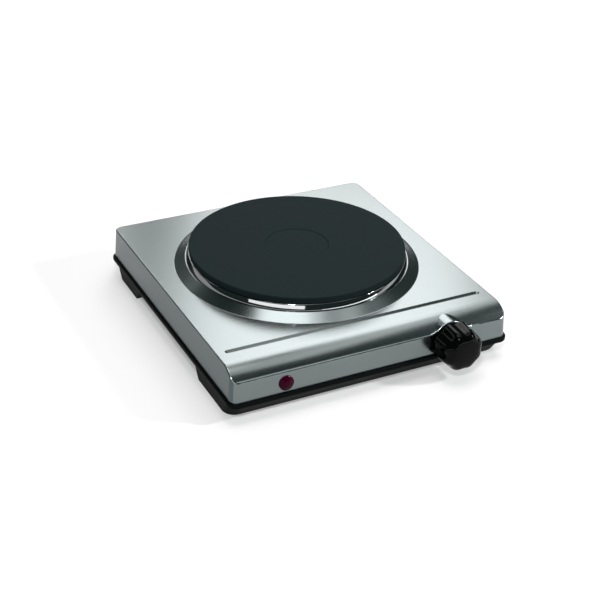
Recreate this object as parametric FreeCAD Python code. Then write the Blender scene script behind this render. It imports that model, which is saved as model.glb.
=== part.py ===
import FreeCAD
import Part
import math
import os

V = FreeCAD.Vector
UP = V(0, 0, 1)
ACROSS = V(1, 0, 0)
BACK = V(0, 1, 0)

# All sizes are millimetres. +X is right, the front faces -Y, +Z is up and the table is z = 0.

# Steel housing
width = 248.0             # side to side at its lower edge
depth = 262.0             # front to back at its lower edge
steel_h = 26.5            # lower edge to flat top
corner_r = 6.5            # corners in plan
draft = 1.25              # how far each wall leans in between lower edge and top
sheet = 0.8               # stainless sheet
top_edge_r = 1.2          # rolled edge round the top

# Front shoulder, rolling down from the flat top and flaring out to the ridge over the fascia
shoulder_r = 22.0
shoulder_slope = 49.0     # steepest slope, degrees
flare_r = 3.5
flare_slope = 8.0         # slope left at the ridge, degrees

# Groove pressed across the top
groove_back = 32.4        # foot of the fascia to the groove
groove_end_gap = 11.1     # foot of a side wall to the middle of the groove's round end
groove_nose_r = 0.8       # blunt nose of the tool that presses it
groove_slope = 36.0       # slope of its two sides, degrees
groove_depth = 1.55

# Cast-iron plate
plate_r = 92.5
plate_back = 10.8         # plate's axis behind the middle of the housing
plate_up = 16.5           # flat top to the plate's face
plate_edge_h = 5.8        # black edge that shows above the ring
plate_edge_r = 0.9
plate_step = 6.5          # overhang of the edge beyond the body below it
plate_depth = 22.0        # face to underside
plate_roof = 8.0          # iron above the coils
sunk_r = 27.3             # sunk middle of the face
sunk_depth = 0.6
sunk_run = 0.8            # slope of the sunk middle's rim, in plan
skirt_t = 5.0             # outer wall of the underside
groove_outer_w = 21.0     # groove of the outer coil
rib_t = 6.0               # rib between the two coil grooves
groove_inner_w = 23.0     # groove of the inner coil, round the solid hub

# Spill ring and the collar drawn up from the housing under it
ring_t = 0.7
ring_out = 0.5            # ring beyond the plate's edge at the top
ring_flare = 2.0          # ring's foot beyond its top
ring_bend_r = 1.2
ring_play = 0.4           # ring's flange round the plate's body
collar_step = 0.6         # collar's top edge beyond the ring's foot
collar_run = 9.2
collar_h = 5.1
collar_foot_r = 1.5       # fillet where the collar rises
collar_top_edge_r = 0.5
opening_play = 3.0        # opening round the plate's body

# Controls on the fascia
control_drop = 16.9       # flat top down to the knob's axis
lens_drop = 18.5          # flat top down to the middle of the lens
knob_x = 69.5
lens_x = -78.1
boss_drop = 0.5           # crest of the knob's boss below the flat top
boss_r = 18.0             # round crown of the boss
boss_foot_r = 18.0        # hollow flanks of the boss, running out into the ridge
shaft_r = 3.0
shaft_play = 0.05         # running fit of the shaft
shaft_room = 2.2          # fascia's hole round the shaft
flat_cut = 1.5            # depth of the shaft's D flat

# Knob
knob_r = 18.3
knob_h = 22.0
knob_gap = 0.5            # knob's back to the tray's lip
knob_flutes = 8
knob_flute_depth = 2.6    # finger flutes between the round lobes, at the back
knob_flute_end = 0.2      # what is left of the flutes at the front
knob_phase = 22.5         # first lobe above the horizontal, degrees
lobe_points = 12          # points that shape the outline of each lobe
knob_taper = 1.5          # how much smaller the front of the side is
knob_dome = 4.0           # rise of the domed front
knob_edge_r = 7.0         # rounded edge of the front
knob_scallop_r = 2.5      # where the flutes run out into the front
knob_wall = 2.2
knob_hollow = 9.0         # depth of the hollow back
hub_wall = 3.2
bore_depth = 11.0
clip_t = 0.5
clip_w = 4.0

# Indicator
lens_r = 6.2
lens_rim_h = 0.9
lens_dome_h = 2.6
lens_stem_r = 4.6
lens_stem_wall = 1.0
lens_stem_l = 15.0
lens_play = 0.15          # stem in the fascia
lamp_play = 0.3           # lamp in the stem
lamp_l = 11.0
lens_clip_r = 7.6
lens_clip_t = 0.5

# Base tray
base_h = 18.3             # table to the steel's lower edge
lip_out = 2.0             # lip beyond the steel
lip_h = 4.3
lip_edge_r = 1.2
floor_t = 2.5
rim_t = 2.0               # locating rim inside the steel
rim_h = 5.0
rim_gap = 0.3
rim_relief = 1.5          # room cut in the rim beside what passes over it
vent_l = 44.0
vent_w = 4.0
vent_pitch = 10.0
vent_count = 7            # slots in each of the two rows
vent_row = 34.0           # row from the plate's axis

# Foot rails
foot_side_inset = 0.75    # rail's side inside the steel's lower edge
foot_setback = 10.0       # rail's outer end inside the steel's lower edge, at the table
foot_w = 15.0             # width of the rail
foot_corner_r = 10.5
foot_wall = 2.2
front_foot_l = 66.0       # steel's front edge to the rail's end, at the table
rear_foot_l = 56.0
foot_taper = 9.5          # how much further each end reaches at the rail's top
foot_edge_r = 0.5
pad_r = 5.6
pad_t = 3.0
pad_sunk = 2.2
pad_play = 0.1
pad_along = 28.0          # end of the housing to the pad's middle
foot_screw_along = 46.0   # end of the housing to the rail's screw

# Screws: shank radius, head radius, head height
tapping_r = 1.75
tapping_head_r = 3.6
tapping_head_h = 2.4
small_r = 1.45
small_head_r = 2.8
small_head_h = 2.0
thread_play = 0.05        # screw in its pilot hole
pass_play = 0.35          # screw through a clearance hole
boss_wall = 2.6
head_play = 0.4
head_crown_r = 0.7

# Brackets welded inside the housing
bracket_t = 1.5
bracket_w = 16.0
bracket_l = 32.0          # reach from the side wall
bracket_rise = 14.0
bracket_over_rim = 1.5
bracket_along = 40.0      # end of the housing to the bracket's middle
bracket_screw_in = 6.0    # screw from the bracket's free end
base_screw_seat = 3.8     # screw head above the tray's underside
earth_in = 16.0           # earth screw from the free end of the rear left bracket
earth_l = 6.0

# What clamps the plate
stud_r = 3.0
stud_in_hub = 11.0
bridge_t = 2.0
bridge_w = 24.0
bridge_drop = 5.0         # plate's cover to the bridge
bridge_bear = 11.0        # bearing length at each end
bridge_joggle = 12.0
nut_af = 10.0
nut_h = 5.0
jam_nut_h = 3.0
washer_r = 7.0
washer_t = 1.6
stud_past_nut = 2.0

# Plate's cover, coils and terminals
cover_t = 0.6
cover_r_in = 1.5          # cover's edge inside the plate's body
coil_r = 3.4
coil_from_roof = 2.0
compound_play = 0.06
tail_r = 0.9
tail_x = 12.0             # coil ends either side of the gap
tail_play = 0.5
block_h = 10.0
block_margin = 7.5        # ceramic round the coil tails
block_corner_r = 2.5
pin_r = 2.2
pin_out = 4.0
pin_in = 2.2

# Heat shield
shield_over = 9.0         # shield beyond the plate's body
shield_t = 0.6
shield_rim_h = 5.0
shield_rise = 3.5         # tray's floor to the shield
post_r = 4.2
post_ring_in = 15.0       # posts from the shield's edge
post_count = 4
shield_screw_l = 5.0

# Thermostat
thermostat_w = 28.0
thermostat_l = 22.0
thermostat_h = 17.0
thermostat_edge_r = 2.0
thermostat_back = 24.0    # foot of the fascia to the thermostat's front
neck_wall = 1.6
neck_l = 6.0
neck_play = 0.25
shaft_in_body = 14.0
plate_leg_t = 1.5
plate_leg_up = 12.0       # bracket above the axis
plate_foot_l = 15.5
plate_seat_h = 3.3        # seats of the bracket above the tray's floor
fix_spread = 9.5          # screws either side of the axis
fix_l = 8.0
seat_screw_l = 5.0
tab_w = 6.3
tab_t = 0.8
tab_out = 9.0
tab_in = 3.0
tab_spread = 7.0

# Mains strip and gland
strip_x = -62.0
strip_in = 20.0           # rear of the housing to the strip's middle
strip_w = 40.0
strip_l = 18.0
strip_h = 12.0
pole_count = 3
pole_pitch = 9.0
pole_r = 3.2
pole_hole_r = 1.7
pole_screw_in = 6.0       # wire screws from the strip's ends
strip_step_h = 5.0
strip_seat_h = 3.0
bush_x = -62.0
bush_up = 12.0            # steel's lower edge to the gland
bush_bore_r = 3.8
bush_neck_r = 6.0
bush_flange_r = 9.0
bush_flange_t = 2.0
bush_edge_r = 0.7
bush_barb_r = 7.0
bush_barb_l = 4.0
bush_play = 0.2

# Levels and places that follow from the sizes above
z_steel = base_h
z_top = z_steel + steel_h
z_axis = z_top - control_drop
z_lens = z_top - lens_drop
z_crown = z_top - boss_drop - boss_r
z_lip = z_steel - lip_h
z_floor = z_lip + floor_t
z_plate = z_top + plate_up
z_plate_edge = z_plate - plate_edge_h
z_under = z_plate - plate_depth
z_cover = z_under - cover_t
z_bridge = z_cover - bridge_drop
z_nut = z_bridge - bridge_t - washer_t - nut_h
z_shield = z_floor + shield_rise
z_bracket = z_steel + rim_h + bracket_over_rim
z_seat = z_floor + plate_seat_h
z_strip = z_floor + strip_seat_h
pad_out = pad_t - pad_sunk
knob_out = lip_out + knob_gap + knob_h
y_mid = (knob_out - lip_out) / 2
y_front = y_mid - depth / 2
y_plate = y_mid + plate_back
y_knob = y_front - lip_out - knob_gap
y_thermostat = y_front + thermostat_back
steep = math.radians(shoulder_slope)
ridge_slope = math.radians(flare_slope)
ridge_drop = shoulder_r * (1 - math.cos(steep)) + flare_r * (math.cos(ridge_slope) - math.cos(steep))
shoulder_run = shoulder_r * math.sin(steep) + flare_r * (math.sin(steep) - math.sin(ridge_slope))
z_ridge = z_top - ridge_drop
body_r = plate_r - plate_step
groove_out_r = body_r - skirt_t
rib_outer_r = groove_out_r - groove_outer_w
rib_inner_r = rib_outer_r - rib_t
hub_r = rib_inner_r - groove_inner_w
ring_top_r = plate_r + ring_out
ring_foot_r = ring_top_r + ring_flare
collar_top = ring_foot_r + collar_step
collar_foot = collar_top + collar_run
opening_r = body_r + opening_play
shaft_hole_r = shaft_r + shaft_room
neck_r = shaft_r + neck_wall
strip_step_w = 2 * (small_head_r + head_play)
shield_r = body_r + shield_over
post_ring_r = shield_r - post_ring_in
coil_outer = (rib_outer_r + groove_out_r) / 2
coil_inner = (hub_r + rib_inner_r) / 2
z_coil = z_plate - plate_roof - coil_from_roof - coil_r
wall_tilt = math.degrees(math.atan2(draft, steel_h))
plate_axis = V(0, y_plate, 0)
earth_corner = (-1, 1)    # rear left
margin = 5.0              # how far cutting bodies run past what they cut
touch = 0.02              # what lies nearer than this counts as touching


def lean(z):
    """How far a housing wall has leant in at height z."""
    return draft * (z - z_steel) / steel_h


def point(x, y, z):
    return V(x, y, z)


def segment(a, b):
    return Part.LineSegment(a, b).toShape()


def arc(a, b, c):
    return Part.Arc(a, b, c).toShape()


def outline(half_x, half_y, r, z):
    """Level outline with round corners about the middle of the housing."""
    edges = []
    corners = [(1, -1, -90), (1, 1, 0), (-1, 1, 90), (-1, -1, 180)]
    ends = []
    for sx, sy, start in corners:
        cx = sx * (half_x - r)
        cy = y_mid + sy * (half_y - r)
        turn = [math.radians(start + step) for step in (0, 45, 90)]
        ends.append([point(cx + r * math.cos(a), cy + r * math.sin(a), z) for a in turn])
    for k, (a, b, c) in enumerate(ends):
        edges.append(arc(a, b, c))
        edges.append(segment(c, ends[(k + 1) % len(ends)][0]))
    return Part.Wire(edges)


def slab(half_x, half_y, r, z0, z1):
    """Upright block on a round-cornered outline."""
    return Part.Face(outline(half_x, half_y, r, z0)).extrude(UP * (z1 - z0))


def drafted_block(inset, z0, z1):
    """Block between the housing's leaning walls, pulled in by inset."""
    rings = []
    for z in (z0, z1):
        pull = inset + lean(z)
        rings.append(outline(width / 2 - pull, depth / 2 - pull, corner_r - inset, z))
    return Part.makeLoft(rings, True, True)


def turned(points, base=plate_axis, axis=UP):
    """Solid of revolution of a closed outline given as (radius, height) about an upright axis."""
    corners = [base + V(r, 0, z) for r, z in points]
    face = Part.Face(Part.makePolygon(corners + corners[:1]))
    return face.revolve(base, axis, 360)


def rod(r, length, base, axis=UP):
    return Part.makeCylinder(r, length, base, axis)


def tube(r_out, r_in, length, base, axis=UP):
    return rod(r_out, length, base, axis).cut(rod(r_in, length, base, axis))


def prism_across(points, x0, x1):
    """Body of constant section: (y, z) points carried from x0 to x1."""
    corners = [point(x0, y, z) for y, z in points]
    return Part.Face(Part.makePolygon(corners + corners[:1])).extrude(ACROSS * (x1 - x0))


def prism_along(points, y0, y1):
    """Body of constant section: (x, z) points carried from y0 to y1."""
    corners = [point(x, y0, z) for x, z in points]
    return Part.Face(Part.makePolygon(corners + corners[:1])).extrude(BACK * (y1 - y0))


def block(x0, x1, y0, y1, z0, z1):
    return Part.makeBox(x1 - x0, y1 - y0, z1 - z0, point(x0, y0, z0))


def hex_nut(height, z0):
    """Nut on the plate's axis."""
    sides = 6
    corner = nut_af / 2 / math.cos(math.pi / sides)
    turn = [2 * math.pi * k / sides for k in range(sides)]
    points = [plate_axis + V(corner * math.cos(a), corner * math.sin(a), z0) for a in turn]
    body = Part.Face(Part.makePolygon(points + points[:1])).extrude(UP * height)
    return body.cut(rod(stud_r + thread_play, height, plate_axis + UP * z0))


def screw(shank_r, length, head_r, head_h, seat, axis):
    """Pan-head screw whose head bears at seat and whose shank runs along axis."""
    head = rod(head_r, head_h, seat - axis * head_h, axis)
    crown = [e for e in head.Edges if e.Closed and (e.CenterOfMass - seat).Length > head_h / 2]
    head = head.makeFillet(head_crown_r, crown)
    return head.fuse(rod(shank_r, length, seat, axis)).removeSplitter()


def on_wall(shape, x, z, end):
    """Carry a body modelled along +Z, with its seat at z = 0, onto the front (-1) or rear (1) wall."""
    y = y_mid + end * (depth / 2 - lean(z))
    tilt = math.radians(wall_tilt)
    normal = V(0, end * math.cos(tilt), math.sin(tilt))
    placed = shape.copy()
    placed.Placement = FreeCAD.Placement(point(x, y, z), FreeCAD.Rotation(UP, normal))
    return placed


def ends_and_sides():
    """The four corners as (side, end) signs: front left, front right, rear left, rear right."""
    return [("fl", -1, -1), ("fr", 1, -1), ("rl", -1, 1), ("rr", 1, 1)]


def inward(end, distance):
    """Y of a place at a distance inside the front (-1) or rear (1) edge of the housing."""
    return y_mid + end * (depth / 2 - distance)


def shoulder_cutter(inset):
    """What the rolled front shoulder takes off the block: convex roll, then concave flare."""
    y_roll = y_front + lean(z_ridge) + shoulder_run
    z_roll = z_top - shoulder_r
    reach = shoulder_r + flare_r
    y_flare = y_roll - reach * math.sin(steep)
    z_flare = z_roll + reach * math.cos(steep)
    x0 = -width / 2 - margin

    def roll(angle):
        r = shoulder_r - inset
        return point(x0, y_roll - r * math.sin(angle), z_roll + r * math.cos(angle))

    def flare(angle):
        r = flare_r + inset
        return point(x0, y_flare + r * math.sin(angle), z_flare - r * math.cos(angle))

    level = flare(0)
    far = point(x0, y_front - margin, level.z)
    above = point(x0, y_front - margin, z_top + margin)
    behind = point(x0, y_roll, z_top + margin)
    section = Part.Wire([
        arc(roll(0), roll(steep / 2), roll(steep)),
        arc(flare(steep), flare(steep / 2), level),
        segment(level, far),
        segment(far, above),
        segment(above, behind),
        segment(behind, roll(0)),
    ])
    return Part.Face(section).extrude(ACROSS * (width + 2 * margin))


def on_skin(p):
    """True where a point lies on the housing's leaning outer walls."""
    pull = lean(p.z)
    dx = abs(p.x) - (width / 2 - pull - corner_r)
    dy = abs(p.y - y_mid) - (depth / 2 - pull - corner_r)
    outside = math.hypot(max(dx, 0), max(dy, 0)) + min(max(dx, dy), 0)
    return abs(outside - corner_r) < touch


def upper_edges(body, above):
    """Edges where the top of a body meets the leaning walls, above a given height."""
    found = []
    for edge in body.Edges:
        middle = edge.valueAt((edge.FirstParameter + edge.LastParameter) / 2)
        if edge.BoundBox.ZMin > above and on_skin(middle):
            found.append(edge)
    return found


def knob_boss(inset):
    """Rounded boss over the knob: its hollow flanks run out into the ridge, its back into the shoulder."""
    reach = boss_r + boss_foot_r
    half_turn = math.acos(1 - (z_crown + boss_r - z_ridge) / reach)
    far = reach * math.sin(half_turn)
    crown = boss_r - inset
    flank = boss_foot_r + inset

    def on_crown(angle):
        return point(knob_x + crown * math.sin(angle), y_front - margin, z_crown + crown * math.cos(angle))

    def on_flank(side, angle):
        x = knob_x + side * (far - flank * math.sin(angle))
        return point(x, y_front - margin, z_ridge + boss_foot_r - flank * math.cos(angle))

    ends = [on_flank(side, 0) for side in (-1, 1)]
    feet = [point(end.x, end.y, z_axis) for end in ends]
    section = Part.Wire([
        arc(ends[0], on_flank(-1, half_turn / 2), on_crown(-half_turn)),
        arc(on_crown(-half_turn), on_crown(0), on_crown(half_turn)),
        arc(on_crown(half_turn), on_flank(1, half_turn / 2), ends[1]),
        segment(ends[1], feet[1]),
        segment(feet[1], feet[0]),
        segment(feet[0], ends[0]),
    ])
    core = Part.Face(section).extrude(BACK * (shoulder_run + 2 * margin))
    return core.common(drafted_block(inset, z_steel - inset, z_top))


def groove(inset):
    """Blunt wedge with round ends that presses the groove."""
    slope = math.radians(groove_slope)
    r = groove_nose_r + inset
    y = y_front + groove_back
    z_nose = z_top - groove_depth - inset
    z_over = z_top + margin
    half = width / 2 - groove_end_gap

    def on_nose(x, tilt):
        return point(x, y + r * math.sin(tilt), z_nose + r * (1 - math.cos(tilt)))

    def wing(x):
        foot = on_nose(x, slope)
        head = point(x, foot.y + (z_over - foot.z) / math.tan(slope), z_over)
        middle = point(x, y, z_over)
        return Part.Face(Part.Wire([
            arc(on_nose(x, 0), on_nose(x, slope / 2), foot),
            segment(foot, head),
            segment(head, middle),
            segment(middle, on_nose(x, 0)),
        ]))

    bar = wing(-half).extrude(ACROSS * (2 * half))
    bar = bar.fuse(bar.mirror(point(0, y, 0), BACK))
    for side in (-1, 1):
        bar = bar.fuse(wing(side * half).revolve(point(side * half, y, 0), UP, 360))
    return bar


def collar(inset):
    """Cone drawn up round the plate's opening, from just inside the sheet to the ring's seat."""
    slope = math.atan2(collar_h, collar_run)
    fall = inset / math.cos(slope)

    def radius(z):
        return collar_foot - (z + fall) / math.tan(slope)

    low = -inset
    high = collar_h - inset
    rim = [(radius(low), z_top + low), (radius(high), z_top + high)]
    return turned([(0, z_top + low)] + rim + [(0, z_top + high)])


def rings_at(body, z, r):
    """Circular edges of a body about the plate's axis, near height z and radius r."""
    near = []
    for edge in body.Edges:
        box = edge.BoundBox
        level = abs(box.ZMin - z) < touch and abs(box.ZMax - z) < touch
        if level and abs(box.XMax - r) < touch and abs(box.XMin + r) < touch:
            near.append(edge)
    return near


def top_housing():
    """Drawn stainless shell: shoulder, fascia with the knob's boss, groove and plate collar."""
    skin = drafted_block(0, z_steel, z_top).cut(shoulder_cutter(0))
    skin = skin.fuse(knob_boss(0)).removeSplitter()
    skin = skin.makeFillet(top_edge_r, upper_edges(skin, z_steel + top_edge_r))
    skin = skin.cut(groove(0))
    skin = skin.fuse(collar(0)).removeSplitter()
    skin = skin.makeFillet(collar_foot_r, rings_at(skin, z_top, collar_foot))
    skin = skin.makeFillet(collar_top_edge_r, rings_at(skin, z_top + collar_h, collar_top))
    inside = drafted_block(sheet, z_steel - sheet, z_top - sheet).cut(shoulder_cutter(sheet))
    inside = inside.fuse(knob_boss(sheet)).cut(groove(sheet))
    inside = inside.fuse(collar(sheet))
    shell = skin.cut(inside)
    shell = shell.cut(rod(opening_r, plate_up, plate_axis + UP * (z_top - sheet)))
    shell = shell.cut(rod(shaft_hole_r, thermostat_back, point(knob_x, y_front - margin, z_axis), BACK))
    lens_hole = rod(lens_stem_r + lens_play, 2 * margin, -UP * margin)
    shell = shell.cut(on_wall(lens_hole, lens_x, z_lens, -1))
    bush_hole = rod(bush_neck_r + bush_play, 2 * margin, -UP * margin)
    return shell.cut(on_wall(bush_hole, bush_x, z_steel + bush_up, 1))


def base_screw_place(side, end):
    x = side * (width / 2 - sheet - bracket_l + bracket_screw_in)
    return x, inward(end, bracket_along)


def foot_screw_place(side, end):
    x = side * (width / 2 - foot_side_inset - foot_w / 2)
    return x, inward(end, foot_screw_along)


def post_places():
    turn = [math.radians(360 * (k + 0.5) / post_count) for k in range(post_count)]
    return [(post_ring_r * math.cos(a), y_plate + post_ring_r * math.sin(a)) for a in turn]


def seat_places():
    """Two raised seats under the thermostat's bracket."""
    y = y_thermostat - plate_leg_t - plate_foot_l / 2
    return [(knob_x + side * fix_spread, y) for side in (-1, 1)]


def strip_places():
    """Two fixing screws of the mains strip."""
    y = inward(1, strip_in)
    return [(strip_x + side * (strip_w / 2 - strip_step_w / 2), y) for side in (-1, 1)]


def vent(x, y):
    """One slot through the tray's floor, long across the tray."""
    half = vent_l / 2 - vent_w / 2
    cut = block(x - half, x + half, y - vent_w / 2, y + vent_w / 2, z_lip, z_floor)
    for side in (-1, 1):
        cut = cut.fuse(rod(vent_w / 2, floor_t, point(x + side * half, y, z_lip)))
    return cut


def base_tray():
    """Moulded tray: lip under the steel, locating rim, screw bosses, posts and air slots."""
    lip = slab(width / 2 + lip_out, depth / 2 + lip_out, corner_r + lip_out, z_lip, z_steel)
    rounds = [edge for edge in lip.Edges if edge.BoundBox.ZLength < floor_t]
    tray = lip.makeFillet(lip_edge_r, rounds)
    pull = sheet + rim_gap + lean(z_steel + rim_h)
    z_rim = z_steel + rim_h
    tray = tray.fuse(slab(width / 2 - pull, depth / 2 - pull, corner_r - pull, z_lip + lip_edge_r, z_rim))
    pull = pull + rim_t
    tray = tray.cut(slab(width / 2 - pull, depth / 2 - pull, corner_r - pull, z_floor, z_rim))
    cuts = []
    over_rim = [(lens_x, lens_clip_r, -1), (knob_x, shaft_hole_r, -1), (bush_x, bush_barb_r, 1)]
    for x, r, end in over_rim:
        half = r + rim_relief
        ys = sorted([inward(end, 0), inward(end, pull + rim_relief)])
        cuts.append(block(x - half, x + half, ys[0], ys[1], z_steel, z_rim))
    for _, side, end in ends_and_sides():
        x, y = base_screw_place(side, end)
        tray = tray.fuse(rod(tapping_head_r + boss_wall, z_bracket - z_lip, point(x, y, z_lip)))
        cuts.append(rod(tapping_head_r + head_play, base_screw_seat, point(x, y, z_lip)))
        cuts.append(rod(tapping_r + pass_play, z_bracket - z_lip, point(x, y, z_lip)))
        x, y = foot_screw_place(side, end)
        tray = tray.fuse(rod(tapping_r + boss_wall, rim_h, point(x, y, z_floor)))
        cuts.append(rod(tapping_r + thread_play, floor_t + rim_h, point(x, y, z_lip)))
    for x, y in post_places():
        tray = tray.fuse(rod(post_r, shield_rise, point(x, y, z_floor)))
        cuts.append(rod(small_r + thread_play, shield_screw_l + thread_play, point(x, y, z_shield), -UP))
    for x, y in seat_places():
        tray = tray.fuse(rod(small_head_r + boss_wall, plate_seat_h, point(x, y, z_floor)))
        cuts.append(rod(small_r + thread_play, seat_screw_l - plate_leg_t, point(x, y, z_seat), -UP))
    for x, y in strip_places():
        tray = tray.fuse(rod(small_head_r + boss_wall / 2, strip_seat_h, point(x, y, z_floor)))
        cuts.append(rod(small_r + thread_play, seat_screw_l, point(x, y, z_strip), -UP))
    for k in range(vent_count):
        for side in (-1, 1):
            cuts.append(vent(side * vent_row, y_plate + (k - (vent_count - 1) / 2) * vent_pitch))
    return tray.cut(cuts).removeSplitter()


def rail_outline(half, y0, y1, r, z0):
    """Level outline with two round corners at its outer end, y0."""
    slant = r * (1 - math.sqrt(0.5))
    left = [point(-half, y1, z0), point(-half, y0 + r, z0), point(-half + slant, y0 + slant, z0)]
    right = [point(half, y1, z0), point(half, y0 + r, z0), point(half - slant, y0 + slant, z0)]
    low = [point(-half + r, y0, z0), point(half - r, y0, z0)]
    return Part.Wire([
        segment(left[0], left[1]),
        arc(left[1], left[2], low[0]),
        segment(low[0], low[1]),
        arc(low[1], right[2], right[1]),
        segment(right[1], right[0]),
        segment(right[0], left[0]),
    ])


def rail_block(half, near, far, r, z0, z1):
    """Block between two distances from the front edge, whose ends lean out towards its top."""
    rings = []
    for z in (z0, z1):
        spread = foot_taper * (z - pad_out) / (z_lip - pad_out)
        rings.append(rail_outline(half, inward(-1, near - spread), inward(-1, far + spread), r, z))
    return Part.makeLoft(rings, True, True)


def u_block(inset, length, z0, z1):
    """U-shaped block of a foot rail at the front, pulled in by inset on every side."""
    half = width / 2 - foot_side_inset - inset
    near = foot_setback + inset
    outer = rail_block(half, near, length - inset, foot_corner_r - inset, z0, z1)
    inner = half - foot_w + 2 * inset
    near = foot_setback + foot_w - inset
    return outer.cut(rail_block(inner, near, length + margin, foot_corner_r / 2, z0, z1))


def foot_rail(end, length):
    """Moulded U-shaped rail, hollow from above, with tapered ends, pad recesses and screw bosses."""
    rail = u_block(0, length, pad_out, z_lip)
    lower = [edge for edge in rail.Edges if edge.BoundBox.ZMax < pad_out + foot_edge_r / 2]
    rail = rail.makeFillet(foot_edge_r, lower)
    rail = rail.cut(u_block(foot_wall, length, pad_sunk + pad_out + foot_wall, z_lip))
    for side in (-1, 1):
        x, y = foot_screw_place(side, -1)
        z_boss = pad_out + foot_wall
        rail = rail.fuse(rod(tapping_head_r + boss_wall, z_lip - z_boss, point(x, y, z_boss)))
        rail = rail.cut(rod(tapping_head_r + head_play, foot_seat() - pad_out, point(x, y, pad_out)))
        rail = rail.cut(rod(tapping_r + pass_play, z_lip - pad_out, point(x, y, pad_out)))
        x, y = pad_place(side, -1)
        rail = rail.cut(rod(pad_r + pad_play, pad_sunk, point(x, y, pad_out)))
    if end > 0:
        rail = rail.mirror(point(0, y_mid, 0), BACK)
    return rail


def foot_seat():
    """Height at which a rail's screw head bears."""
    return pad_out + foot_wall + tapping_head_h


def pad_place(side, end):
    x = side * (width / 2 - foot_side_inset - foot_w / 2)
    return x, inward(end, pad_along)


def foot_pad(side, end):
    """Rubber button pressed into the underside of a rail."""
    x, y = pad_place(side, end)
    pad = rod(pad_r, pad_t, point(x, y, 0))
    lower = [edge for edge in pad.Edges if edge.BoundBox.ZMax < pad_t / 2]
    return pad.makeFillet(pad_out / 2, lower)


def housing_bracket(side, end):
    """Bent strip, welded to the side wall, whose level leg takes a base screw."""
    z0 = z_bracket
    z1 = z0 + bracket_rise

    def wall(z):
        return width / 2 - lean(z) - sheet

    free = width / 2 - sheet - bracket_l
    section = [
        (free, z0),
        (wall(z0), z0),
        (wall(z1), z1),
        (wall(z1) - bracket_t, z1),
        (wall(z0 + bracket_t) - bracket_t, z0 + bracket_t),
        (free, z0 + bracket_t),
    ]
    y = inward(end, bracket_along)
    strip = prism_along([(side * x, z) for x, z in section], y - bracket_w / 2, y + bracket_w / 2)
    x, y = base_screw_place(side, end)
    strip = strip.cut(rod(tapping_r + thread_play, bracket_t, point(x, y, z0)))
    if (side, end) == earth_corner:
        strip = strip.cut(rod(tapping_r + thread_play, bracket_t, earth_place()))
    return strip


def earth_place():
    side, end = earth_corner
    return point(side * (width / 2 - sheet - bracket_l + earth_in), inward(end, bracket_along), z_bracket)


def earth_screw():
    """Earth terminal on the rear left bracket."""
    seat = earth_place() + UP * bracket_t
    return screw(tapping_r, earth_l, tapping_head_r, tapping_head_h, seat, -UP)


def hot_plate():
    """Cast-iron plate: sunk middle, overhanging edge, hub and ribs that part the coil grooves."""
    z_roof = z_plate - plate_roof
    section = [
        (0, z_plate - sunk_depth),
        (sunk_r - sunk_run, z_plate - sunk_depth),
        (sunk_r, z_plate),
        (plate_r, z_plate),
        (plate_r, z_plate_edge),
        (body_r, z_plate_edge),
        (body_r, z_under),
        (groove_out_r, z_under),
        (groove_out_r, z_roof),
        (rib_outer_r, z_roof),
        (rib_outer_r, z_under),
        (rib_inner_r, z_under),
        (rib_inner_r, z_roof),
        (hub_r, z_roof),
        (hub_r, z_under),
        (0, z_under),
    ]
    plate = turned(section)
    rims = rings_at(plate, z_plate, plate_r) + rings_at(plate, z_plate_edge, plate_r)
    plate = plate.makeFillet(plate_edge_r, rims)
    return plate.cut(rod(stud_r + thread_play, stud_in_hub, plate_axis + UP * z_under))


def spill_ring():
    """Polished ring: flange under the plate's overhang and a wall that flares to its foot."""
    foot = z_top + collar_h
    lean_in = ring_flare / (z_plate_edge - foot)
    bend = ring_top_r - ring_bend_r

    def wall(z, inset):
        return ring_top_r - inset + lean_in * (z_plate_edge - z)

    base = plate_axis

    def at(r, z):
        return base + V(r, 0, z)

    z_bend = z_plate_edge - ring_bend_r
    turn = math.sqrt(0.5)
    inner_bend = ring_bend_r - ring_t
    mid = wall(z_bend, ring_bend_r)
    outer_arc = arc(
        at(bend, z_plate_edge),
        at(mid + ring_bend_r * turn, z_bend + ring_bend_r * turn),
        at(wall(z_bend, 0), z_bend),
    )
    inner_arc = arc(
        at(wall(z_bend, ring_t), z_bend),
        at(mid + inner_bend * turn, z_bend + inner_bend * turn),
        at(bend, z_plate_edge - ring_t),
    )
    lip = body_r + ring_play
    edges = [
        segment(at(lip, z_plate_edge), at(bend, z_plate_edge)),
        outer_arc,
        segment(at(wall(z_bend, 0), z_bend), at(wall(foot, 0), foot)),
        segment(at(wall(foot, 0), foot), at(wall(foot, ring_t), foot)),
        segment(at(wall(foot, ring_t), foot), at(wall(z_bend, ring_t), z_bend)),
        inner_arc,
        segment(at(bend, z_plate_edge - ring_t), at(lip, z_plate_edge - ring_t)),
        segment(at(lip, z_plate_edge - ring_t), at(lip, z_plate_edge)),
    ]
    return Part.Face(Part.Wire(edges)).revolve(base, UP, 360)


def tail_y(ring_r):
    return y_plate + math.sqrt(ring_r ** 2 - tail_x ** 2)


def tail_places():
    """Where the coil ends come down through the cover."""
    return [(side * tail_x, tail_y(r)) for r in (coil_inner, coil_outer) for side in (-1, 1)]


def coil_body(ring_r, play):
    """Open ring of a wound coil, with its two tails down to the terminals."""
    gap = 2 * math.degrees(math.asin(tail_x / ring_r))
    start = point(tail_x, tail_y(ring_r), z_coil)
    along = V(-(start.y - y_plate), start.x, 0)
    loop = Part.Face(Part.Wire(Part.makeCircle(coil_r + play, start, along)))
    ring = loop.revolve(plate_axis, -UP, 360 - gap)
    for side in (-1, 1):
        tail = rod(tail_r + play, z_coil - pin_top(), point(side * tail_x, start.y, pin_top()))
        ring = ring.fuse(tail)
    return ring


def pin_top():
    return z_cover - block_h + pin_in


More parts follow.
